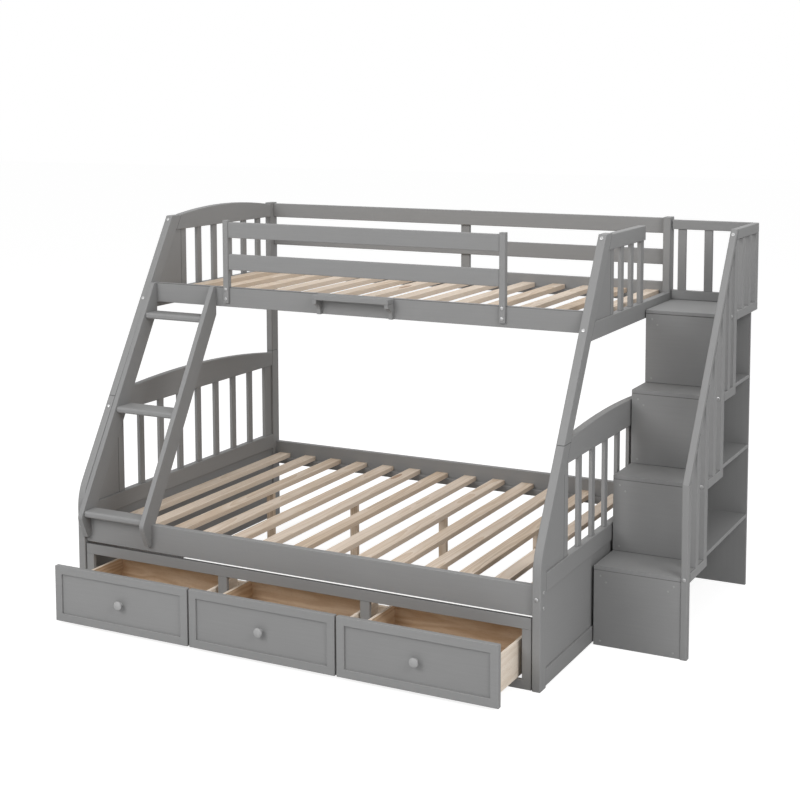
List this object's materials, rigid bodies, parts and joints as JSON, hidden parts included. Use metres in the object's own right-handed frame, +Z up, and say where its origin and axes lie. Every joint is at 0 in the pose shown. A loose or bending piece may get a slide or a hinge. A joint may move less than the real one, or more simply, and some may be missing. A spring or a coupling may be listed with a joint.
{
  "type": "bunk bed with storage stairs",
  "caption": "Painted wood twin over full bunk bed with leaning front posts, arched barred ends, drawers under the lower bunk, a slanted ladder and railed storage stairs.",
  "frame": {"origin": "on the floor, at the middle of the outline seen from above, with the drawers standing open as pictured", "axes": "+X along the bed from the ladder end to the stairs, +Y from the drawer side to the back, +Z up"},
  "size_m": [2.3586, 1.711, 1.552],
  "materials": {
    "gray_paint": "satin gray paint over solid wood, faint grain",
    "ledger_paint": "satin gray paint, in shade",
    "raw_pine": "planed bare pine",
    "drawer_wood": "clear lacquered drawer boards",
    "steel_fastener": "zinc plated bolt heads, painted screw caps"
  },
  "bodies": {
    "bed": {"left_front_leg": "gray_paint", "left_front_post": "gray_paint", "left_back_leg": "gray_paint", "left_back_post": "gray_paint", "left_lower_rails": "gray_paint", "left_lower_infill": "gray_paint", "left_lower_arch": "gray_paint", "left_end_rail": "gray_paint", "left_upper_infill": "gray_paint", "left_upper_arch": "gray_paint", "right_front_leg": "gray_paint", "right_front_post": "gray_paint", "right_back_leg": "gray_paint", "right_back_post": "gray_paint", "right_lower_rails": "gray_paint", "right_lower_infill": "gray_paint", "right_lower_arch": "gray_paint", "right_end_rail": "gray_paint", "right_upper_infill": "gray_paint", "right_upper_rail": "gray_paint", "end_base_panels": "gray_paint", "lower_front_rail": "gray_paint", "lower_back_rail": "gray_paint", "upper_front_rail": "gray_paint", "upper_back_rail": "gray_paint", "slat_ledgers": "ledger_paint", "lower_slats": "raw_pine", "upper_slats": "raw_pine", "slat_legs": "raw_pine", "back_guard": "gray_paint", "front_guard_stiles": "gray_paint", "front_guard_boards": "gray_paint", "bedside_shelf": "gray_paint", "shelf_brackets": "gray_paint", "ladder_sides": "gray_paint", "ladder_treads": "gray_paint", "drawer_frame": "gray_paint", "drawer_runners": "drawer_wood", "stair_treads": "gray_paint", "stair_risers": "gray_paint", "stair_side": "gray_paint", "stair_back": "gray_paint", "stair_newel": "gray_paint", "stair_handrail": "gray_paint", "stair_railing_rails": "gray_paint", "stair_railing_bars": "gray_paint", "stair_back_guard": "gray_paint", "bolts": "steel_fastener"},
    "drawer_left": {"drawer_left_front": "gray_paint", "drawer_left_panel": "gray_paint", "drawer_left_box": "drawer_wood", "drawer_left_knob": "gray_paint"},
    "drawer_middle": {"drawer_middle_front": "gray_paint", "drawer_middle_panel": "gray_paint", "drawer_middle_box": "drawer_wood", "drawer_middle_knob": "gray_paint"},
    "drawer_right": {"drawer_right_front": "gray_paint", "drawer_right_panel": "gray_paint", "drawer_right_box": "drawer_wood", "drawer_right_knob": "gray_paint"}
  },
  "joints": [
    {"name": "drawer_left_slide", "type": "slide", "parent": "bed", "child": "drawer_left", "axis": [0, -1, 0], "range_m": [-0.202, 0.06]},
    {"name": "drawer_middle_slide", "type": "slide", "parent": "bed", "child": "drawer_middle", "axis": [0, -1, 0], "range_m": [-0.202, 0.06]},
    {"name": "drawer_right_slide", "type": "slide", "parent": "bed", "child": "drawer_right", "axis": [0, -1, 0], "range_m": [-0.202, 0.06]}
  ]
}
